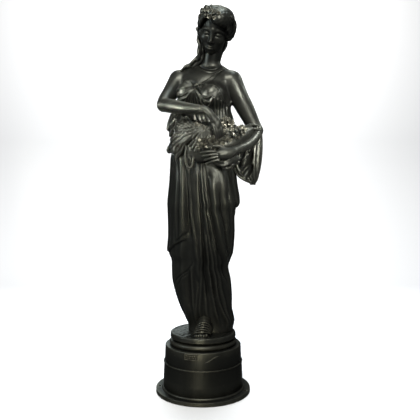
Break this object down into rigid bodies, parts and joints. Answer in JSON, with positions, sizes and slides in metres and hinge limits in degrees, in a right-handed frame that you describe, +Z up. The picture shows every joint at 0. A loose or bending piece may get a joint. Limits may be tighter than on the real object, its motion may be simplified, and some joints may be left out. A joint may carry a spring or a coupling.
{
  "type": "cast iron garden statue",
  "caption": "Standing young woman in a draped antique dress gathering flowers into the cloth over one arm, cast in iron on a round flanged plinth.",
  "frame": {"origin": "on the ground at the centre of the plinth's flat underside", "axes": "+Z up, the figure looks along -Y, her left side is +X"},
  "size_m": [0.4204, 0.3779, 1.4879],
  "materials": {
    "figure": "satin dark bronze paint over cast iron, lightly worn",
    "plinth": "satin dark bronze paint over cast iron"
  },
  "bodies": {
    "root": {"figure": "figure", "plinth": "plinth"}
  },
  "joints": []
}
